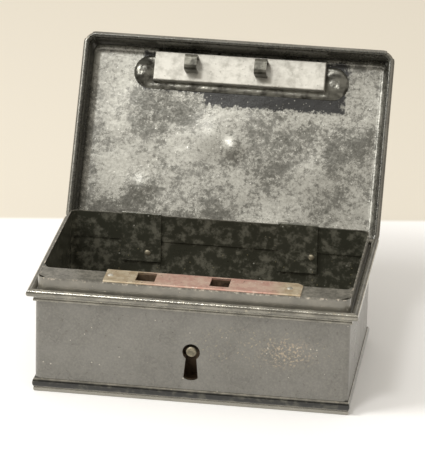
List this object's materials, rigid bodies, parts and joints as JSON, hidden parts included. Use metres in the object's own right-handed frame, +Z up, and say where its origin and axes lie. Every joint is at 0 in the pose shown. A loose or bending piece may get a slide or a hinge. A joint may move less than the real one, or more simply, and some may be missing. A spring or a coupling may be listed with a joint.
{
  "type": "tin money box",
  "caption": "Small rectangular tinplate money box with a hinged lid on a rolled shoulder, a raised neck, a front lock shelf, a sliding two-pronged bolt and staples in the lid.",
  "frame": {"origin": "middle of the underside of the body, on the surface that it stands on", "axes": "+Z up, -Y to the front with the keyhole, +X to the right seen from the front; the lid leans back over +Y"},
  "size_m": [0.1598, 0.163, 0.1343],
  "materials": {
    "japanned_tin": "black japanned tinplate, worn satin",
    "worn_tin": "tinned iron, rubbed bare",
    "bright_tin": "bright tinned rivet heads",
    "copper_plate": "tarnished copper wash",
    "lock_iron": "browned iron",
    "iron_wire": "drawn iron wire"
  },
  "bodies": {
    "body": {"body_wrapper": "japanned_tin", "bottom_pan": "japanned_tin", "shoulder_moulding": "japanned_tin", "shoulder_wire": "iron_wire", "neck_rim": "japanned_tin", "front_shelf": "japanned_tin", "lock_plate": "copper_plate", "lock_plate_rivets": "bright_tin", "lock_case": "lock_iron", "lock_cap": "copper_plate", "lock_pillars": "lock_iron", "bolt_posts": "lock_iron", "drill_pin": "bright_tin", "key_ward": "lock_iron", "bolt_spring": "lock_iron", "hinge_body_leaf_left": "japanned_tin", "hinge_body_leaf_right": "japanned_tin", "hinge_body_rivets": "bright_tin"},
    "lid": {"lid_shell": "japanned_tin", "lid_wire": "iron_wire", "hinge_lid_leaf_left": "japanned_tin", "hinge_lid_leaf_right": "japanned_tin", "hinge_lid_rivets": "bright_tin", "keeper_back_plate": "japanned_tin", "keeper_bar": "worn_tin", "staple_left": "worn_tin", "staple_right": "worn_tin", "keeper_rivets": "bright_tin"},
    "bolt": {"lock_bolt": "lock_iron"}
  },
  "joints": [
    {"name": "lid_hinge", "type": "hinge", "parent": "body", "child": "lid", "pos_m": [0, 0.04893, 0.0517], "axis": [1, 0, 0], "range_deg": [0, 122]},
    {"name": "bolt_slide", "type": "slide", "parent": "body", "child": "bolt", "axis": [1, 0, 0], "range_m": [0, 0.0076]}
  ]
}
